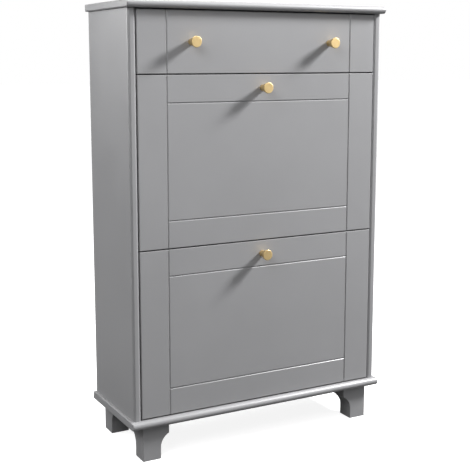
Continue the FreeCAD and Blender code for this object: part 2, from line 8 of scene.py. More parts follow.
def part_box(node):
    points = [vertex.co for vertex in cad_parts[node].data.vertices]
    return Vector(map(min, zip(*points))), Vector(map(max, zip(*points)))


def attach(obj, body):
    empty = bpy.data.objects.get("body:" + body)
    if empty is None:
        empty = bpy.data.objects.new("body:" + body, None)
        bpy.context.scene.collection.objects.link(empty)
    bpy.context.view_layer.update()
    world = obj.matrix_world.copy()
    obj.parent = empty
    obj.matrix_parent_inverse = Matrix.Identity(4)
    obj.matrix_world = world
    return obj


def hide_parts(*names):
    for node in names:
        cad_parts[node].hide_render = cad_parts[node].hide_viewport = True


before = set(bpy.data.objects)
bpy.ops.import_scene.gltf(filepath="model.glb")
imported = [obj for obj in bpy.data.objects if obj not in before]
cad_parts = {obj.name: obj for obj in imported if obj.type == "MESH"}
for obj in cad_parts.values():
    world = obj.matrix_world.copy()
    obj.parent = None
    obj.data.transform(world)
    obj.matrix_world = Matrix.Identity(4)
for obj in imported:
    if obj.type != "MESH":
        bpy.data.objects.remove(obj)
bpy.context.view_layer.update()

# ---- side panels ------------------------------------------------------------------
# Two 18 mm fibreboard sides stand on the base and carry the top. Both front edges of
# each are milled round, and the whole board is sprayed with satin grey lacquer.


def socket_group(name, inputs, outputs):
    """A shader node group with named sockets, and its input and output nodes."""
    tree = bpy.data.node_groups.new(name, "ShaderNodeTree")
    for label, kind, value in inputs:
        socket = tree.interface.new_socket(label, in_out="INPUT", socket_type=kind)
        if value is not None:
            socket.default_value = value
    for label, kind in outputs:
        tree.interface.new_socket(label, in_out="OUTPUT", socket_type=kind)
    return tree, tree.nodes.new("NodeGroupInput"), tree.nodes.new("NodeGroupOutput")


def noise(tree, vector, scale, detail=2.0, roughness=0.5):
    node = tree.nodes.new("ShaderNodeTexNoise")
    tree.links.new(vector, node.inputs["Vector"])
    node.inputs["Detail"].default_value = detail
    node.inputs["Roughness"].default_value = roughness
    if hasattr(scale, "links"):
        tree.links.new(scale, node.inputs["Scale"])
    else:
        node.inputs["Scale"].default_value = scale
    return node.outputs["Fac"]


def remap(tree, value, low, high):
    """Stretch the middle of a noise, 0.3 to 0.7, over low to high."""
    node = tree.nodes.new("ShaderNodeMapRange")
    node.inputs["From Min"].default_value = 0.3
    node.inputs["From Max"].default_value = 0.7
    tree.links.new(value, node.inputs["Value"])
    for label, end in (("To Min", low), ("To Max", high)):
        if hasattr(end, "links"):
            tree.links.new(end, node.inputs[label])
        else:
            node.inputs[label].default_value = end
    return node.outputs["Result"]


def combined(tree, operation, *values):
    """One sum of a shader, on other nodes' values or plain numbers."""
    node = tree.nodes.new("ShaderNodeMath")
    node.operation = operation
    for socket, value in zip(node.inputs, values):
        if hasattr(value, "links"):
            tree.links.new(value, socket)
        else:
            socket.default_value = value
    return node.outputs["Value"]


def blend_colours(tree, mask, first, second):
    node = tree.nodes.new("ShaderNodeMix")
    node.data_type = "RGBA"
    tree.links.new(mask, node.inputs["Factor"])
    for socket, colour in ((node.inputs["A"], first), (node.inputs["B"], second)):
        if hasattr(colour, "links"):
            tree.links.new(colour, socket)
        else:
            socket.default_value = (*colour, 1.0)
    return node.outputs["Result"]


def mottled_coat():
    """Slow and fine changes of tone and gloss in a sprayed or printed coat."""
    tree, given, result = socket_group(
        "mottled_coat",
        [
            ("Vector", "NodeSocketVector", None),
            ("Light Tone", "NodeSocketColor", (0.3, 0.3, 0.3, 1.0)),
            ("Dark Tone", "NodeSocketColor", (0.25, 0.25, 0.25, 1.0)),
            ("Patch Scale", "NodeSocketFloat", 5.0),
            ("Least Gloss", "NodeSocketFloat", 0.5),
            ("Most Gloss", "NodeSocketFloat", 0.4),
        ],
        [("Colour", "NodeSocketColor"), ("Roughness", "NodeSocketFloat")],
    )
    patches = noise(tree, given.outputs["Vector"], given.outputs["Patch Scale"], 4.0, 0.6)
    fine = noise(tree, given.outputs["Vector"], 900.0, 1.0)
    mixed = combined(tree, "MULTIPLY_ADD", fine, 0.25, remap(tree, patches, 0.0, 0.75))
    colour = blend_colours(tree, mixed, given.outputs["Dark Tone"], given.outputs["Light Tone"])
    gloss = remap(tree, patches, given.outputs["Most Gloss"], given.outputs["Least Gloss"])
    tree.links.new(colour, result.inputs["Colour"])
    tree.links.new(gloss, result.inputs["Roughness"])
    return tree


def spray_peel():
    """The low dimples that a roller or a spray gun leaves in paint."""
    tree, given, result = socket_group(
        "spray_peel",
        [("Vector", "NodeSocketVector", None), ("Dimple Scale", "NodeSocketFloat", 400.0)],
        [("Height", "NodeSocketFloat")],
    )
    broad = noise(tree, given.outputs["Vector"], given.outputs["Dimple Scale"], 1.0)
    tree.links.new(remap(tree, broad, 0.0, 1.0), result.inputs["Height"])
    return tree


def settled_dust():
    """Where a thin film of dust lies: broken patches on faces that look up."""
    tree, given, result = socket_group(
        "settled_dust",
        [("Vector", "NodeSocketVector", None), ("Amount", "NodeSocketFloat", 0.1)],
        [("Mask", "NodeSocketFloat")],
    )
    facing = tree.nodes.new("ShaderNodeNewGeometry")
    split = tree.nodes.new("ShaderNodeSeparateXYZ")
    tree.links.new(facing.outputs["Normal"], split.inputs["Vector"])
    upward = tree.nodes.new("ShaderNodeMapRange")
    upward.inputs["From Min"].default_value = 0.75
    tree.links.new(split.outputs["Z"], upward.inputs["Value"])
    tree.links.new(given.outputs["Amount"], upward.inputs["To Max"])
    speckle = remap(tree, noise(tree, given.outputs["Vector"], 45.0, 6.0, 0.7), 0.2, 1.0)
    both = combined(tree, "MULTIPLY", upward.outputs["Result"], speckle)
    tree.links.new(both, result.inputs["Mask"])
    return tree


def placed(tree, group, coordinates, **values):
    """One use of a shared group in a material, with its own values."""
    node = tree.nodes.new("ShaderNodeGroup")
    node.node_tree = group
    tree.links.new(coordinates, node.inputs["Vector"])
    for label, value in values.items():
        node.inputs[label.replace("_", " ").title()].default_value = value
    return node


def bare_material(name, metallic=0.0):
    """A material with its surface shader and the piece's own coordinates."""
    material = bpy.data.materials.new(name)
    material.use_nodes = True
    tree = material.node_tree
    shader = tree.nodes["Principled BSDF"]
    shader.inputs["Metallic"].default_value = metallic
    return material, tree, shader, tree.nodes.new("ShaderNodeTexCoord").outputs["Object"]


def add_bump(tree, shader, height, distance, strength=1.0):
    bump = tree.nodes.new("ShaderNodeBump")
    bump.inputs["Strength"].default_value = strength
    bump.inputs["Distance"].default_value = distance
    tree.links.new(height, bump.inputs["Height"])
    tree.links.new(bump.outputs["Normal"], shader.inputs["Normal"])


coat_group = mottled_coat()
peel_group = spray_peel()
dust_group = settled_dust()
dust_colour = (0.46, 0.45, 0.43)


def coat_on(tree, shader, where, light, dark, gloss, patch):
    """The mottled tone and gloss of a surface; gloss is its shiniest and dullest roughness."""
    coat = placed(
        tree,
        coat_group,
        where,
        light_tone=(*light, 1.0),
        dark_tone=(*dark, 1.0),
        patch_scale=patch,
        least_gloss=gloss[1],
        most_gloss=gloss[0],
    )
    tree.links.new(coat.outputs["Colour"], shader.inputs["Base Color"])
    tree.links.new(coat.outputs["Roughness"], shader.inputs["Roughness"])
    return coat.outputs["Colour"]


def coated_board(name, light, dark, gloss, dimple_scale, peel, dust=0.1, patch=5.0):
    """Paint or foil on board: mottled tone, peel in the gloss, dust on level faces."""
    material, tree, shader, where = bare_material(name)
    tone = coat_on(tree, shader, where, light, dark, gloss, patch)
    film = placed(tree, dust_group, where, amount=dust)
    colour = blend_colours(tree, film.outputs["Mask"], tone, dust_colour)
    tree.links.new(colour, shader.inputs["Base Color"])
    dimples = placed(tree, peel_group, where, dimple_scale=dimple_scale)
    add_bump(tree, shader, dimples.outputs["Height"], peel)
    return material


grey_lacquer = coated_board(
    "grey_lacquer",
    light=(0.278, 0.278, 0.286),
    dark=(0.260, 0.260, 0.267),
    gloss=(0.36, 0.46),
    dimple_scale=420.0,
    peel=0.00003,
)
clear_coat = grey_lacquer.node_tree.nodes["Principled BSDF"].inputs
clear_coat["Coat Weight"].default_value = 0.4
clear_coat["Coat Roughness"].default_value = 0.3


def linked(name, data):
    """A new object in the scene, at the origin."""
    made = bpy.data.objects.new(name, data)
    bpy.context.scene.collection.objects.link(made)
    return made


arris_angle = math.radians(38)      # sharper edges than this are eased
sharp_angle = math.radians(50)      # and than this stay crisp


def finished(name, mesh, body, material, nodes, ease=0.0, steps=3, sharp=sharp_angle):
    """Link a piece, give it its material, ease its arrises, parent it to its body's empty and hide
    the CAD nodes it replaces.
    """
    piece = linked(name, mesh)
    mesh.materials.clear()
    mesh.materials.append(material)
    if ease:
        bevel = piece.modifiers.new("eased_arris", "BEVEL")
        bevel.width = ease
        bevel.segments = steps
        bevel.limit_method = "ANGLE"
        bevel.angle_limit = arris_angle
    mesh.shade_smooth()
    mesh.set_sharp_from_angle(angle=sharp)
    flat = piece.modifiers.new("flat_faces", "WEIGHTED_NORMAL")
    flat.keep_sharp = True
    flat.weight = 100
    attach(piece, body)
    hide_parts(*nodes)
    return piece


def mesh_from(build, name):
    """The finished mesh of a build, with every face turned outward."""
    bmesh.ops.recalc_face_normals(build, faces=build.faces)
    mesh = bpy.data.meshes.new(name)
    build.to_mesh(mesh)
    build.free()
    return mesh


def loft_mesh(name, rings):
    """A closed solid through rings of equally many points, capped at both ends."""
    build = bmesh.new()
    loops = [[build.verts.new(point) for point in ring] for ring in rings]
    count = len(loops[0])
    for lower, upper in zip(loops, loops[1:]):
        for i in range(count):
            j = (i + 1) % count
            build.faces.new((lower[i], lower[j], upper[j], upper[i]))
    build.faces.new(list(reversed(loops[0])))
    build.faces.new(loops[-1])
    return mesh_from(build, name)


def round_off(centre, radius, start, turn, steps):
    """Points on a circle about centre, from the angle start on through turn."""
    angles = [start + turn * step / steps for step in range(steps + 1)]
    return [(centre[0] + radius * math.cos(a), centre[1] + radius * math.sin(a)) for a in angles]


side_edge_round = 0.006


def side_panel(side):
    node = side + "_side_panel"
    low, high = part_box(node)
    depth = low.y + side_edge_round
    quarter = math.pi / 2
    plan = []
    for centre_x, start in ((low.x + side_edge_round, 2), (high.x - side_edge_round, 3)):
        plan += round_off((centre_x, depth), side_edge_round, start * quarter, quarter, 10)
    plan += [(high.x, high.y), (low.x, high.y)]
    rings = [[(x, y, z) for x, y in plan] for z in (low.z, high.z)]
    mesh = loft_mesh("painted_" + node, rings)
    finished(mesh.name, mesh, "carcass", grey_lacquer, [node], 0.0006, 2)


for side in ("left", "right"):
    side_panel(side)

# ---- base and top -------------------------------------------------------------------
# The base sits on the feet and the top closes the carcass. Both run past the sides,
# with the long front edge milled to a full round and the ends only eased.


def level_board(node):
    low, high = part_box(node)
    radius = (high.z - low.z) / 2
    centre = (low.y + radius, low.z + radius)
    nose = round_off(centre, radius, math.pi / 2, math.pi, 20)
    section = nose + [(high.y, low.z), (high.y, high.z)]
    rings = [[(x, y, z) for y, z in section] for x in (low.x, high.x)]
    mesh = loft_mesh("painted_" + node, rings)
    finished(mesh.name, mesh, "carcass", grey_lacquer, [node], 0.0025, 4)


for node in ("base_panel", "top_panel"):
    level_board(node)

# ---- bracket feet -----------------------------------------------------------------
# Four solid feet, square at the floor, swell in a hollow curve to a block under the
# base on their two inner sides. They are cut on a bandsaw, sanded and lacquered.

foot_bottom = 0.043
foot_lip = 0.022
foot_hollow = 0.034


def foot_reach(fraction, high, top_width):
    """Width and height of the foot along its outline, 0 at the floor to 1."""
    flare = top_width - foot_bottom
    lip_z = high - foot_lip
    turn = math.acos((foot_hollow - flare) / foot_hollow)
    hollow_z = lip_z - foot_hollow * math.sin(turn)
    angle = turn * fraction
    width = foot_bottom + foot_hollow * (1 - math.cos(angle))
    return width, hollow_z + foot_hollow * math.sin(angle)


def bracket_foot(row, side):
    node = "%s_%s_foot" % (row, side)
    low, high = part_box(node)
    outer_x = low.x if side == "left" else high.x
    outer_y = low.y if row == "front" else high.y
    inward_x = 1 if side == "left" else -1
    inward_y = 1 if row == "front" else -1
    top_width = high.x - low.x
    steps = 14
    levels = [(foot_bottom, low.z)]
    levels += [foot_reach(step / steps, high.z, top_width) for step in range(steps + 1)]
    levels.append((top_width, high.z))
    rings = []
    for width, z in levels:
        far_x = outer_x + inward_x * width
        far_y = outer_y + inward_y * width
        corners = [(outer_x, outer_y), (far_x, outer_y), (far_x, far_y), (outer_x, far_y)]
        rings.append([(x, y, z) for x, y in corners])
    mesh = loft_mesh("painted_" + node, rings)
    finished(mesh.name, mesh, "carcass", grey_lacquer, [node], 0.0008, 2)


for row in ("front", "rear"):
    for side in ("left", "right"):
        bracket_foot(row, side)

# ---- dividers -------------------------------------------------------------------------
# Two level boards tie the sides together, one under the drawer and one between the
# flaps. They are particle board in matt grey foil, with taped front edges.

grey_foil = coated_board(
    "grey_foil",
    light=(0.30, 0.30, 0.305),
    dark=(0.272, 0.273, 0.277),
    gloss=(0.5, 0.62),
    dimple_scale=1500.0,
    peel=0.00004,
    dust=0.06,
    patch=9.0,
)


def square_cut(name, low, high):
    """A board sawn square, between two corners."""
    rings = [
        [(low.x, low.y, z), (high.x, low.y, z), (high.x, high.y, z), (low.x, high.y, z)]
        for z in (low.z, high.z)
    ]
    return loft_mesh(name, rings)


def plain_board(node, body, material, ease=0.0006):
    """A square-cut board with eased arrises, in the place of its node."""
    mesh = square_cut("cut_" + node, *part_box(node))
    finished(mesh.name, mesh, body, material, [node], ease, 2)


for node in ("drawer_divider", "middle_divider"):
    plain_board(node, "carcass", grey_foil)

# ---- back panel and its nails ---------------------------------------------------------
# A 3 mm hardboard sheet closes the back, painted on both faces. Flat-headed nails
# hold it along the sides and the dividers, a hand's width apart.


def fibre_board():
    """Thin paint over hardboard, with the pressed fibres showing through."""
    material, tree, shader, where = bare_material("painted_hardboard")
    coat_on(tree, shader, where, (0.31, 0.31, 0.312), (0.262, 0.262, 0.264), (0.6, 0.72), 14.0)
    stretch = tree.nodes.new("ShaderNodeMapping")
    stretch.inputs["Scale"].default_value = (1.0, 1.0, 0.35)
    tree.links.new(where, stretch.inputs["Vector"])
    fibres = noise(tree, stretch.outputs["Vector"], 520.0, 4.0, 0.7)
    add_bump(tree, shader, fibres, 0.00012)
    return material


painted_hardboard = fibre_board()
board_low, board_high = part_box("back_panel")
wall_hole_radius = 0.005
wall_hole_drop = 0.018      # below the brackets' upper edge
wall_hole_inset = 0.015     # from the brackets' outer edges


def add_loops(curve, outlines):
    """Closed straight-sided loops on a flat curve, the holes inside the outline."""
    for outline in outlines:
        spline = curve.splines.new("POLY")
        spline.points.add(len(outline) - 1)
        for point, (across, up) in zip(spline.points, outline):
            point.co = (across, up, 0.0, 1.0)
        spline.use_cyclic_u = True


def pierced_back():
    """The back sheet with the two round holes for the brackets' collars."""
    bracket_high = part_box("wall_brackets")[1]
    hole_z = bracket_high.z - wall_hole_drop
    curve = bpy.data.curves.new("back_sheet", "CURVE")
    curve.dimensions = "2D"
    curve.fill_mode = "BOTH"
    thick = board_high.y - board_low.y
    curve.bevel_depth = 0.0003
    curve.extrude = thick / 2 - curve.bevel_depth
    curve.offset = -curve.bevel_depth
    corners = [
        (board_low.x, board_low.z),
        (board_high.x, board_low.z),
        (board_high.x, board_high.z),
        (board_low.x, board_high.z),
    ]
    outlines = [corners]
    for side in (-1, 1):
        centre_x = side * (bracket_high.x - wall_hole_inset)
        circle = round_off((centre_x, hole_z), wall_hole_radius, 0.0, math.tau, 24)
        outlines.append(circle[:-1])
    add_loops(curve, outlines)
    return curve


def merged(mesh):
    """Join points that lie on each other, and turn every face outward."""
    build = bmesh.new()
    build.from_mesh(mesh)
    bmesh.ops.remove_doubles(build, verts=build.verts, dist=1e-6)
    bmesh.ops.recalc_face_normals(build, faces=build.faces)
    build.to_mesh(mesh)
    build.free()
    return mesh


def sheet_mesh(curve, stand):
    """A filled flat curve made a mesh, and stood in its place."""
    carrier = bpy.data.objects.new("flat_curve", curve)
    mesh = bpy.data.meshes.new_from_object(carrier)
    bpy.data.objects.remove(carrier)
    mesh.transform(stand)
    return merged(mesh)


middle_y = (board_low.y + board_high.y) / 2
upright = Matrix.Translation((0, middle_y, 0)) @ Matrix.Rotation(math.pi / 2, 4, "X")
back_mesh = sheet_mesh(pierced_back(), upright)
finished("painted_back", back_mesh, "carcass", painted_hardboard, ["back_panel"])


def scuffed_metal(name, light, dark, gloss, scratch_scale, grain=(1.0, 1.0, 1.0)):
    """Bare or plated metal with cloudy tone and fine marks."""
    material, tree, shader, where = bare_material(name, metallic=1.0)
    coat_on(tree, shader, where, light, dark, gloss, 120.0)
    stretch = tree.nodes.new("ShaderNodeMapping")
    stretch.inputs["Scale"].default_value = grain
    tree.links.new(where, stretch.inputs["Vector"])
    add_bump(tree, shader, noise(tree, stretch.outputs["Vector"], scratch_scale), 0.00002)
    return material


bright_steel = scuffed_metal(
    "bright_steel", (0.62, 0.62, 0.63), (0.5, 0.5, 0.5), gloss=(0.28, 0.42), scratch_scale=2500.0
)


def turned_mesh(name, outline, sides):
    """A solid of revolution about +Z through an outline of (radius, height) points."""
    build = bmesh.new()
    rings = []
    for radius, height in outline:
        if radius == 0:
            rings.append([build.verts.new((0, 0, height))])
            continue
        circle = round_off((0.0, 0.0), radius, 0.0, math.tau, sides)[:-1]
        rings.append([build.verts.new((x, y, height)) for x, y in circle])
    for lower, upper in zip(rings, rings[1:]):
        for i in range(sides):
            j = (i + 1) % sides
            around = [lower[i % len(lower)], lower[j % len(lower)]]
            around += [upper[j % len(upper)], upper[i % len(upper)]]
            build.faces.new(list(dict.fromkeys(around)))
    return mesh_from(build, name)


def fastener_row_tree():
    """Puts one fastener on each point, along the point's aim, turned at random."""
    tree = bpy.data.node_groups.new("fastener_row", "GeometryNodeTree")
    face = tree.interface
    face.new_socket("Points", in_out="INPUT", socket_type="NodeSocketGeometry")
    face.new_socket("Fastener", in_out="INPUT", socket_type="NodeSocketObject")
    face.new_socket("Finish", in_out="INPUT", socket_type="NodeSocketMaterial")
    face.new_socket("Scale", in_out="INPUT", socket_type="NodeSocketFloat")
    face.new_socket("Seed", in_out="INPUT", socket_type="NodeSocketInt")
    face.new_socket("Fasteners", in_out="OUTPUT", socket_type="NodeSocketGeometry")
    given = tree.nodes.new("NodeGroupInput")
    result = tree.nodes.new("NodeGroupOutput")
    aim = tree.nodes.new("GeometryNodeInputNamedAttribute")
    aim.data_type = "FLOAT_VECTOR"
    aim.inputs["Name"].default_value = "aim"
    align = tree.nodes.new("FunctionNodeAlignRotationToVector")
    align.axis = "Z"
    tree.links.new(aim.outputs["Attribute"], align.inputs["Vector"])
    turn = tree.nodes.new("FunctionNodeRandomValue")
    turn.data_type = "FLOAT"
    low, high = [socket for socket in turn.inputs if socket.enabled and socket.type == "VALUE"][:2]
    low.default_value = 0.0
    high.default_value = math.tau
    tree.links.new(given.outputs["Seed"], turn.inputs["Seed"])
    about = tree.nodes.new("FunctionNodeAxisAngleToRotation")
    about.inputs["Axis"].default_value = (0, 0, 1)
    tree.links.new([s for s in turn.outputs if s.enabled][0], about.inputs["Angle"])
    spin = tree.nodes.new("FunctionNodeRotateRotation")
    spin.rotation_space = "LOCAL"
    tree.links.new(align.outputs["Rotation"], spin.inputs["Rotation"])
    tree.links.new(about.outputs["Rotation"], spin.inputs["Rotate By"])
    shape = tree.nodes.new("GeometryNodeObjectInfo")
    tree.links.new(given.outputs["Fastener"], shape.inputs["Object"])
    put = tree.nodes.new("GeometryNodeInstanceOnPoints")
    tree.links.new(given.outputs["Points"], put.inputs["Points"])
    tree.links.new(shape.outputs["Geometry"], put.inputs["Instance"])
    tree.links.new(spin.outputs["Rotation"], put.inputs["Rotation"])
    tree.links.new(given.outputs["Scale"], put.inputs["Scale"])
    real = tree.nodes.new("GeometryNodeRealizeInstances")
    coat = tree.nodes.new("GeometryNodeSetMaterial")
    tree.links.new(put.outputs["Instances"], real.inputs["Geometry"])
    tree.links.new(real.outputs["Geometry"], coat.inputs["Geometry"])
    tree.links.new(given.outputs["Finish"], coat.inputs["Material"])
    tree.links.new(coat.outputs["Geometry"], result.inputs["Fasteners"])
    return tree


fastener_tree = fastener_row_tree()


def islands(node):
    """Lowest and highest corner of each separate solid in a node."""
    loose = bmesh.new()
    loose.from_mesh(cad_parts[node].data)
    bmesh.ops.remove_doubles(loose, verts=loose.verts, dist=1e-6)
    waiting = set(loose.verts)
    found = []
    while waiting:
        stack = [waiting.pop()]
        group = []
        while stack:
            vertex = stack.pop()
            group.append(vertex.co.copy())
            for edge in vertex.link_edges:
                other = edge.other_vert(vertex)
                if other in waiting:
                    waiting.remove(other)
                    stack.append(other)
        low = Vector([min(co[k] for co in group) for k in range(3)])
        high = Vector([max(co[k] for co in group) for k in range(3)])
        found.append((low, high))
    loose.free()
    return sorted(found, key=lambda pair: tuple(round(v, 5) for v in pair[0]))


def evaluated_mesh(carrier):
    """An object's mesh with its modifiers worked out, free of them."""
    bpy.context.view_layer.update()
    evaluated = carrier.evaluated_get(bpy.context.evaluated_depsgraph_get())
    return bpy.data.meshes.new_from_object(evaluated)


def fastener_row(name, places, shape, body, material, nodes, seed=1):
    """Like fasteners at (point, direction) places, as one plain mesh on a body."""
    points = bpy.data.meshes.new(name + "_points")
    points.from_pydata([place for place, direction in places], [], [])
    aims = points.attributes.new("aim", "FLOAT_VECTOR", "POINT")
    for item, (place, direction) in zip(aims.data, places):
        item.vector = direction
    template = linked(name + "_template", shape)
    carrier = linked(name + "_carrier", points)
    modifier = carrier.modifiers.new("row", "NODES")
    modifier.node_group = fastener_tree
    values = {"Fastener": template, "Finish": material, "Scale": 1.0, "Seed": seed}
    for item in fastener_tree.interface.items_tree:
        if item.in_out == "INPUT" and item.name in values:
            modifier[item.identifier] = values[item.name]
    mesh = evaluated_mesh(carrier)
    for made in (template, carrier):
        bpy.data.objects.remove(made)
    mesh.name = name
    finished(name, mesh, body, material, nodes)


nail_head = 0.002
nail_shank = 0.0007
nail_length = 0.0205
nail_shape = turned_mesh(
    "nail_shape",
    [
        (0, -nail_length),
        (nail_shank, -nail_length + 0.002),
        (nail_shank, -0.0001),
        (nail_head, 0.0),
        (nail_head * 1.02, 0.0004),
        (nail_head * 0.8, 0.0008),
        (0, 0.0009),
    ],
    14,
)
nail_places = [
    (Vector(((low.x + high.x) / 2, board_high.y, (low.z + high.z) / 2)), Vector((0, 1, 0)))
    for low, high in islands("back_panel_nails")
]
fastener_row(
    "flat_head_nails", nail_places, nail_shape, "carcass", bright_steel,
    ["back_panel_nails"],
)

# ---- cams, bolts and dowels of the carcass -----------------------------------------
# Zinc cams in the boards' inner faces pull the bolts tight, and beech dowels keep the
# boards in line. Only the cams' round faces with their cross slots are seen.

zinc = scuffed_metal(
    "zinc_plate", (0.66, 0.67, 0.7), (0.52, 0.53, 0.56), gloss=(0.3, 0.45), scratch_scale=1800.0
)


def beech_wood():
    material, tree, shader, where = bare_material("beech_wood")
    stretch = tree.nodes.new("ShaderNodeMapping")
    stretch.inputs["Scale"].default_value = (0.15, 1.0, 1.0)
    tree.links.new(where, stretch.inputs["Vector"])
    grain = noise(tree, stretch.outputs["Vector"], 600.0, 5.0, 0.6)
    colour = blend_colours(
        tree, remap(tree, grain, 0.0, 1.0), (0.62, 0.44, 0.27), (0.74, 0.57, 0.38)
    )
    tree.links.new(colour, shader.inputs["Base Color"])
    tree.links.new(remap(tree, grain, 0.55, 0.7), shader.inputs["Roughness"])
    add_bump(tree, shader, grain, 0.00008)
    return material


def dressed(node, material):
    """A CAD piece whose shape is right, given its finish."""
    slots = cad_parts[node].data.materials
    slots.clear()
    slots.append(material)


def rimmed_face(name, radius, depth, rim):
    """A round fitting with a raised rim, its face looking along +Z."""
    outline = [
        (0, -depth),
        (radius, -depth),
        (radius, rim * 0.6),
        (radius * 0.94, rim),
        (radius * 0.8, rim),
        (radius * 0.76, rim * 0.4),
        (radius * 0.5, rim * 0.4),
        (0, rim * 0.4),
    ]
    return turned_mesh(name, outline, 24)


def cross_recess(mesh, arm, width, depth):
    """Cut a cross into a fitting's face."""
    def cutter(length, breadth):
        block = bmesh.new()
        bmesh.ops.create_cube(block, size=1.0)
        bmesh.ops.scale(block, vec=(length, breadth, depth * 2), verts=block.verts)
        return linked("cutter", mesh_from(block, "cutter"))

    body = linked("recessed", mesh)
    cutters = [cutter(arm * 2, width), cutter(width, arm * 2)]
    for tool in cutters:
        boolean = body.modifiers.new("recess", "BOOLEAN")
        boolean.operation = "DIFFERENCE"
        boolean.object = tool
        boolean.solver = "EXACT"
    cut = evaluated_mesh(body)
    for made in [body] + cutters:
        bpy.data.objects.remove(made)
    return cut


cam_blank = rimmed_face("cam_shape", radius=0.0075, depth=0.004, rim=0.0005)
cam_shape = cross_recess(cam_blank, arm=0.0048, width=0.0016, depth=0.0014)
screw_blank = rimmed_face("screw_shape", radius=0.0042, depth=0.003, rim=0.0004)
screw_shape = cross_recess(screw_blank, arm=0.0026, width=0.001, depth=0.0012)


def middle(low, high):
    return (low + high) / 2


least_cam_height = 0.0095       # the bolts in the same nodes are thinner
most_cam_height = 0.012         # so a cam no taller than this stands upright


def cam_faces(node, facing):
    """Place and direction of each cam's face in a node."""
    places = []
    for low, high in islands(node):
        if min(high - low) < least_cam_height:
            continue
        direction = facing(low, high)
        centre = middle(low, high)
        for axis in range(3):
            if direction[axis] > 0:
                centre[axis] = high[axis]
            if direction[axis] < 0:
                centre[axis] = low[axis]
        places.append((centre, direction))
    return places


def inward_facing(low, high):
    return Vector((-1 if low.x > 0 else 1, 0, 0))


def carcass_cam_facing(low, high):
    """Cams of the dividers look down; those of the sides look inwards."""
    if high.z - low.z < most_cam_height:
        return Vector((0, 0, -1))
    return inward_facing(low, high)


dressed("cam_fittings", zinc)
dressed("dowels", beech_wood())
for node in ("foot_screws", "wall_bracket_screws", "wall_brackets"):
    dressed(node, zinc)


def add_cam_faces(name, node, body, facing):
    """The cams' crossed faces, which stand a hair above the board."""
    fastener_row(
        name, cam_faces(node, facing), cam_shape, body, zinc, [], seed=3
    )


add_cam_faces("carcass_cam_faces", "cam_fittings", "carcass", carcass_cam_facing)
foot_screw_places = [
    (Vector(((low.x + high.x) / 2, (low.y + high.y) / 2, high.z)), Vector((0, 0, 1)))
    for low, high in islands("foot_screws")
]
fastener_row(
    "foot_screw_heads", foot_screw_places, screw_shape, "carcass", zinc, [],
    seed=5,
)

# ---- pivot bushes, stop pins, runners and rollers ---------------------------------
# White nylon bushes hold the flaps' pivot pins and turned steel pins stop the flaps.
# The drawer's runners are rolled steel with white epoxy, with nylon rollers.


def moulded_nylon():
    material, tree, shader, where = bare_material("moulded_nylon")
    coat_on(tree, shader, where, (0.78, 0.78, 0.76), (0.7, 0.7, 0.67), (0.4, 0.55), 90.0)
    dimples = placed(tree, peel_group, where, dimple_scale=1800.0)
    add_bump(tree, shader, dimples.outputs["Height"], 0.00002)
    return material


nylon = moulded_nylon()
white_epoxy = coated_board(
    "white_epoxy",
    light=(0.74, 0.74, 0.72),
    dark=(0.68, 0.68, 0.66),
    gloss=(0.3, 0.42),
    dimple_scale=900.0,
    peel=0.00004,
    dust=0.04,
    patch=30.0,
)
turned_steel = scuffed_metal(
    "turned_steel",
    light=(0.58, 0.58, 0.6),
    dark=(0.46, 0.46, 0.48),
    gloss=(0.22, 0.36),
    scratch_scale=1500.0,
    grain=(6.0, 0.3, 0.3),
)
dressed("flap_pivot_bushes", nylon)
dressed("flap_stop_pins", turned_steel)
dressed("cabinet_runner_screws", zinc)
dressed("drawer_runner_screws", zinc)
for side in ("left", "right"):
    for part in ("cabinet", "drawer"):
        dressed("%s_%s_runner" % (side, part), white_epoxy)


def grooved_roller(node):
    """A roller with a crowned tread and a shallow ring on each face."""
    low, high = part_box(node)
    centre = middle(low, high)
    radius = (high.z - low.z) / 2
    half = (high.x - low.x) / 2
    bore = radius * 0.255
    outline = [
        (bore, -half),
        (radius * 0.45, -half),
        (radius * 0.5, -half * 0.8),
        (radius * 0.75, -half * 0.8),
        (radius * 0.8, -half),
        (radius * 0.95, -half),
        (radius, -half * 0.85),
        (radius, half * 0.85),
        (radius * 0.95, half),
        (radius * 0.8, half),
        (radius * 0.75, half * 0.8),
        (radius * 0.5, half * 0.8),
        (radius * 0.45, half),
        (bore, half),
        (bore, -half),
    ]
    mesh = turned_mesh("moulded_" + node, outline, 40)
    mesh.transform(Matrix.Translation(centre) @ Matrix.Rotation(math.pi / 2, 4, "Y"))
    finished(mesh.name, merged(mesh), node, nylon, [node])


for side in ("left", "right"):
    for part in ("cabinet", "drawer"):
        grooved_roller("%s_%s_roller" % (side, part))

# ---- grooved fronts ---------------------------------------------------------------
# The drawer front and both flap fronts are 16 mm fibreboard. V grooves cut after
# sanding draw a frame on each flap, and two upright ones cross the drawer front.

groove_half = 0.002
groove_depth = 0.002
groove_angle = math.radians(40)     # the walls of a groove meet sharper than this
stile = 0.0675
rail = 0.0595
arris = 0.0015


def grid_lines(low, high, grooves):
    """Places along one side of a front: its eased arrises and each groove's walls."""
    places = [low, low + arris * 0.3, low + arris, high - arris, high - arris * 0.3, high]
    for groove in grooves:
        places += [groove - groove_half, groove, groove + groove_half]
    return sorted(places)


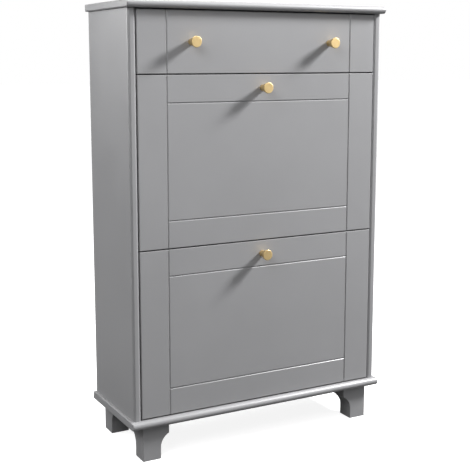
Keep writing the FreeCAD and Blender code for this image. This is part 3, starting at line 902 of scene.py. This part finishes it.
def front_mesh(name, low, high, uprights, levels):
    """A front as a fine grid: V grooves and eased arrises in front, flat behind."""
    across = grid_lines(low.x, high.x, uprights)
    along = grid_lines(low.z, high.z, levels)

    def wall(offset):
        return groove_depth * max(0.0, 1 - abs(offset) / groove_half)

    def eased(distance):
        inside = min(distance, arris)
        return arris - math.sqrt(max(0.0, arris ** 2 - (arris - inside) ** 2))

    def depth(x, z):
        edge = max(eased(min(x - low.x, high.x - x)), eased(min(z - low.z, high.z - z)))
        sunk = max([wall(x - groove) for groove in uprights])
        if levels and uprights[0] <= x <= uprights[-1]:
            sunk = max([sunk] + [wall(z - groove) for groove in levels])
        return max(edge, sunk)

    build = bmesh.new()
    front = [[build.verts.new((x, low.y + depth(x, z), z)) for z in along] for x in across]
    for i in range(len(across) - 1):
        for j in range(len(along) - 1):
            corners = [front[i][j], front[i + 1][j], front[i + 1][j + 1], front[i][j + 1]]
            depths = [corner.co.y for corner in corners]
            lone = [k for k in range(4) if sum(abs(depths[k] - d) > 1e-6 for d in depths) == 3]
            if len(lone) == 1:
                k = lone[0]
                opposite = (k + 2) % 4
                build.faces.new((corners[k], corners[(k + 1) % 4], corners[opposite]))
                build.faces.new((corners[opposite], corners[(k + 3) % 4], corners[k]))
            else:
                build.faces.new(corners)
    rim = [column[0] for column in front] + front[-1][1:]
    rim += [column[-1] for column in reversed(front[:-1])] + list(reversed(front[0][1:-1]))
    rear = [build.verts.new((v.co.x, high.y, v.co.z)) for v in rim]
    for i in range(len(rim)):
        j = (i + 1) % len(rim)
        build.faces.new((rim[j], rim[i], rear[i], rear[j]))
    build.faces.new(rear)
    return mesh_from(build, name)


def grooved_front(node, body, with_levels):
    low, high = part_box(node)
    uprights = [low.x + stile, high.x - stile]
    levels = [low.z + rail, high.z - rail] if with_levels else []
    mesh = front_mesh("painted_" + node, low, high, uprights, levels)
    finished(mesh.name, mesh, body, grey_lacquer, [node], sharp=groove_angle)


grooved_front("drawer_front", "drawer", False)

# ---- drawer box -------------------------------------------------------------------
# Two sides and a back in grey foil, with a painted hardboard bottom let into grooves.
# Cams hold the sides to the front, and screws hold them to the back.

for side in ("left", "right"):
    plain_board(side + "_drawer_side", "drawer", grey_foil)
plain_board("drawer_back", "drawer", grey_foil)
plain_board("drawer_bottom", "drawer", painted_hardboard, 0.0003)
dressed("drawer_cam_fittings", zinc)
dressed("drawer_back_screws", zinc)
dressed("drawer_knob_screws", zinc)
add_cam_faces("drawer_cam_faces", "drawer_cam_fittings", "drawer", inward_facing)


def outward_heads(node):
    """Where the screws of a node show their heads on the outer faces."""
    places = []
    for low, high in islands(node):
        side = 1 if low.x > 0 else -1
        centre = middle(low, high)
        centre.x = high.x if side > 0 else low.x
        places.append((centre, Vector((side, 0, 0))))
    return places


fastener_row(
    "drawer_screw_heads", outward_heads("drawer_back_screws"), screw_shape, "drawer",
    zinc, [], seed=7,
)

# ---- knobs ------------------------------------------------------------------------
# Turned brass knobs widen from a narrow root to a flat face, which the lathe leaves
# with fine rings. A clear satin coat keeps them from tarnishing.

knob_ring_pitch = 0.0005
knob_root_share = 0.6       # the root's radius, of the face's
knob_collar = 0.06          # the nearly straight start, of the length
knob_flare = 0.84           # the widening part, of the length
knob_flare_power = 1.35     # over 1 for a hollow flare
knob_shoulder = 0.0012      # the round at the face's edge


def noise_band(tree, radius):
    """A value that changes only with the distance from the knob's axis."""
    place = tree.nodes.new("ShaderNodeCombineXYZ")
    tree.links.new(radius, place.inputs["X"])
    return remap(tree, noise(tree, place.outputs["Vector"], 900.0, 3.0), 0.0, 0.6)


def satin_brass(centres):
    """Brass with lathe rings about whichever knob's axis is nearest."""
    material, tree, shader, where = bare_material("satin_brass", metallic=0.9)
    tone = coat_on(
        tree, shader, where, (0.75, 0.56, 0.27), (0.66, 0.48, 0.225), (0.46, 0.56), 160.0
    )
    nearest = None
    for centre in centres:
        offset = tree.nodes.new("ShaderNodeVectorMath")
        offset.operation = "MULTIPLY_ADD"
        offset.inputs[1].default_value = (1, 0, 1)
        offset.inputs[2].default_value = (-centre.x, 0, -centre.z)
        tree.links.new(where, offset.inputs[0])
        length = tree.nodes.new("ShaderNodeVectorMath")
        length.operation = "LENGTH"
        tree.links.new(offset.outputs["Vector"], length.inputs[0])
        distance = length.outputs["Value"]
        if nearest is not None:
            distance = combined(tree, "MINIMUM", nearest, distance)
        nearest = distance
    rings = combined(tree, "MULTIPLY", nearest, math.tau / knob_ring_pitch)
    wave = combined(tree, "SINE", rings)
    band = noise_band(tree, nearest)
    colour = blend_colours(tree, band, tone, (0.8, 0.63, 0.35))
    tree.links.new(colour, shader.inputs["Base Color"])
    add_bump(tree, shader, combined(tree, "MULTIPLY", wave, band), 0.00001)
    return material


def knob_centres():
    found = [middle(low, high) for low, high in islands("drawer_knobs")]
    return found + [middle(*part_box(name + "_flap_knob")) for name in ("lower", "upper")]


brass = satin_brass(knob_centres())


def knob_outline(face, length):
    """From the root on the front to the middle of the flat face."""
    root = face * knob_root_share
    neck = root * 0.97
    outline = [(0, 0), (root, 0), (neck, length * knob_collar)]
    for step in range(1, 9):
        t = step / 8
        width = neck + (face - neck) * t ** knob_flare_power
        outline.append((width, length * (knob_collar + knob_flare * t)))
    centre = (face - knob_shoulder, length - knob_shoulder)
    outline += round_off(centre, knob_shoulder, 0.0, math.pi / 2, 5)[1:]
    outline += [(face * 0.6, length), (face * 0.3, length), (0, length)]
    return outline


def turned_knobs(name, boxes, body, node):
    """One or more knobs on one body, each turned about its own level axis."""
    together = bmesh.new()
    for low, high in boxes:
        length = high.y - low.y
        face = (high.x - low.x) / 2
        centre = middle(low, high)
        one = turned_mesh("one_knob", knob_outline(face, length), 64)
        place = Matrix.Translation((centre.x, high.y, centre.z))
        one.transform(place @ Matrix.Rotation(math.pi / 2, 4, "X"))
        together.from_mesh(one)
        bpy.data.meshes.remove(one)
    finished(name, mesh_from(together, name), body, brass, [node])


turned_knobs("drawer_brass_knobs", islands("drawer_knobs"), "drawer", "drawer_knobs")

# ---- tip-out flaps ------------------------------------------------------------------
# Each flap is a grooved front with two cheeks, two shelves and two rear rails screwed
# between them. A curved slot in each cheek runs along the stop pin as the flap tips.

stop_radius = 0.150
slot_half = 0.0043
open_angle = math.radians(42)
closed_angle = math.radians(75)


def slot_outline(pivot):
    """Once round the slot: its outer arc, its upper end, its inner arc, its lower end."""
    centre = (pivot.y, pivot.z)
    low = closed_angle - open_angle

    def round_end(angle, start):
        end_centre = (
            pivot.y + stop_radius * math.cos(angle),
            pivot.z + stop_radius * math.sin(angle),
        )
        return round_off(end_centre, slot_half, start, math.pi, 8)[1:-1]

    outer = round_off(centre, stop_radius + slot_half, low, open_angle, 20)
    inner = round_off(centre, stop_radius - slot_half, closed_angle, -open_angle, 20)
    return outer + round_end(closed_angle, closed_angle) + inner + round_end(low, low + math.pi)


def cheek_curve(name, pivot, low, high):
    """Outline of a cheek with its slot, as a filled flat curve in the cheek's plane."""
    radius = math.hypot(low.y - pivot.y, high.z - pivot.z)
    back_angle = math.acos((high.y - pivot.y) / radius)
    front_angle = math.acos((low.y - pivot.y) / radius)
    outline = [(low.y, low.z), (high.y, low.z)]
    outline += round_off((pivot.y, pivot.z), radius, back_angle, front_angle - back_angle, 40)
    curve = bpy.data.curves.new(name, "CURVE")
    curve.dimensions = "2D"
    curve.fill_mode = "BOTH"
    curve.bevel_depth = 0.0005
    curve.bevel_resolution = 1
    curve.offset = -curve.bevel_depth
    curve.extrude = (high.x - low.x) / 2 - curve.bevel_depth
    add_loops(curve, (outline, slot_outline(pivot)))
    return curve


def cheek(name, side, pivot):
    node = "%s_%s_cheek" % (name, side)
    low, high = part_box(node)
    stand = Matrix(((0, 0, 1, middle(low, high).x), (1, 0, 0, 0), (0, 1, 0, 0), (0, 0, 0, 1)))
    mesh = sheet_mesh(cheek_curve(node, pivot, low, high), stand)
    finished("sawn_" + node, mesh, name, grey_foil, [node])


def rear_rails(name):
    """Both rails of a flap as one piece, each a narrow board with eased arrises."""
    together = bmesh.new()
    for low, high in islands(name + "_rear_rails"):
        one = square_cut("one_rail", low, high)
        together.from_mesh(one)
        bpy.data.meshes.remove(one)
    mesh = mesh_from(together, "cut_%s_rear_rails" % name)
    nodes = [name + "_rear_rails"]
    finished(mesh.name, mesh, name, grey_foil, nodes, 0.0012)


def tip_out_flap(name, seed):
    grooved_front(name + "_front", name, True)
    pivot = middle(*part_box(name + "_pivot_pins"))
    for side in ("left", "right"):
        cheek(name, side, pivot)
    for shelf in ("_lower_shelf", "_upper_shelf"):
        plain_board(name + shelf, name, grey_foil)
    rear_rails(name)
    dressed(name + "_pivot_pins", turned_steel)
    for fitting in ("_cam_fittings", "_board_screws", "_knob_screw"):
        dressed(name + fitting, zinc)
    add_cam_faces(name + "_cam_faces", name + "_cam_fittings", name, inward_facing)
    fastener_row(
        name + "_screw_heads", outward_heads(name + "_board_screws"), screw_shape, name,
        zinc, [], seed=seed,
    )
    turned_knobs(name + "_brass_knob", [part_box(name + "_knob")], name, name + "_knob")


tip_out_flap("lower_flap", 11)
tip_out_flap("upper_flap", 13)

# ---- studio -----------------------------------------------------------------------
# A plain pale floor and background. The main lamp stands high on the right and grazes
# the fronts, soft ones light the left side and its round edge, and the room adds a little.

front_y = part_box("drawer_front")[0].y


def pale_floor():
    """Near white to the camera with a faint shadow, and dim to every other ray."""
    size = 30.0
    mesh = bpy.data.meshes.new("floor")
    corners = [(-size, -size, 0), (size, -size, 0), (size, size, 0), (-size, size, 0)]
    mesh.from_pydata(corners, [], [(0, 1, 2, 3)])
    floor = linked("floor", mesh)
    material, tree, shader = bare_material("pale_floor")[:3]
    shader.inputs["Base Color"].default_value = (0.55, 0.55, 0.55, 1.0)
    shader.inputs["Roughness"].default_value = 0.9
    shader.inputs["Specular IOR Level"].default_value = 0.1
    glow = tree.nodes.new("ShaderNodeEmission")
    glow.inputs["Color"].default_value = (1.0, 1.0, 1.0, 1.0)
    glow.inputs["Strength"].default_value = 0.86
    seen = tree.nodes.new("ShaderNodeLightPath")
    both = tree.nodes.new("ShaderNodeAddShader")
    tree.links.new(shader.outputs["BSDF"], both.inputs[0])
    tree.links.new(glow.outputs["Emission"], both.inputs[1])
    dim = tree.nodes.new("ShaderNodeBsdfDiffuse")
    dim.inputs["Color"].default_value = (0.1, 0.1, 0.1, 1.0)
    choose = tree.nodes.new("ShaderNodeMixShader")
    tree.links.new(seen.outputs["Is Camera Ray"], choose.inputs["Fac"])
    tree.links.new(dim.outputs["BSDF"], choose.inputs[1])
    tree.links.new(both.outputs["Shader"], choose.inputs[2])
    tree.links.new(choose.outputs["Shader"], tree.nodes["Material Output"].inputs["Surface"])
    mesh.materials.append(material)


def lamp(name, place, target, size, power):
    data = bpy.data.lights.new(name, "AREA")
    data.shape = "DISK"
    data.size = size
    data.energy = power
    light = linked(name, data)
    light.location = place
    aim = Vector(target) - Vector(place)
    light.rotation_mode = "QUATERNION"
    light.rotation_quaternion = aim.to_track_quat("-Z", "Y")


def room_light(seen_strength, level_strength, upper_strength):
    """White behind the cabinet, and a softer light that grows towards the ceiling."""
    world = bpy.data.worlds.new("pale_room")
    bpy.context.scene.world = world
    world.use_nodes = True
    tree = world.node_tree
    tree.nodes.clear()
    seen = tree.nodes.new("ShaderNodeBackground")
    lit = tree.nodes.new("ShaderNodeBackground")
    seen.inputs["Strength"].default_value = seen_strength
    way = tree.nodes.new("ShaderNodeTexCoord")
    height = tree.nodes.new("ShaderNodeSeparateXYZ")
    grow = tree.nodes.new("ShaderNodeMapRange")
    grow.inputs["To Min"].default_value = level_strength
    grow.inputs["To Max"].default_value = upper_strength
    tree.links.new(way.outputs["Generated"], height.inputs["Vector"])
    tree.links.new(height.outputs["Z"], grow.inputs["Value"])
    tree.links.new(grow.outputs["Result"], lit.inputs["Strength"])
    for node in (seen, lit):
        node.inputs["Color"].default_value = (1.0, 1.0, 1.0, 1.0)
    path = tree.nodes.new("ShaderNodeLightPath")
    choose = tree.nodes.new("ShaderNodeMixShader")
    output = tree.nodes.new("ShaderNodeOutputWorld")
    tree.links.new(path.outputs["Is Camera Ray"], choose.inputs["Fac"])
    tree.links.new(lit.outputs["Background"], choose.inputs[1])
    tree.links.new(seen.outputs["Background"], choose.inputs[2])
    tree.links.new(choose.outputs["Shader"], output.inputs["Surface"])


def studio_camera():
    """Stands to the left, a little below the top, and looks slightly down."""
    data = bpy.data.cameras.new("studio_camera")
    data.sensor_width = 36.0
    data.lens = 73.87
    data.shift_y = -0.0617
    look_down = math.radians(8.643)
    look_right = math.radians(28.54)
    camera = linked("studio_camera", data)
    camera.location = (-1.0847, front_y - 1.8655, 0.8783)
    camera.rotation_euler = (math.pi / 2 - look_down, 0.0, -look_right)
    bpy.context.scene.camera = camera


pale_floor()
for name, place, target, size, power in (
    ("main_lamp", (2.3, front_y - 0.75, 2.35), (0.0, 0.0, 0.55), 0.6, 240.0),
    ("left_lamp", (-1.45, front_y + 1.1, 1.25), (-0.3, 0.0, 0.6), 0.8, 22.0),
    ("nose_fill", (-1.4, front_y - 1.1, 1.75), (-0.2, 0.0, 0.7), 1.2, 22.0),
    ("front_fill", (1.25, front_y - 2.3, 0.6), (0.0, 0.0, 0.5), 2.4, 4.5),
    ("top_light", (0.0, 0.3, 2.8), (0.0, 0.0, 1.0), 1.2, 34.0),
):
    lamp(name, place, target, size, power)
room_light(seen_strength=1.0, level_strength=0.12, upper_strength=0.45)
studio_camera()
bpy.context.scene.view_settings.view_transform = "Standard"
bpy.context.scene.view_settings.look = "None"
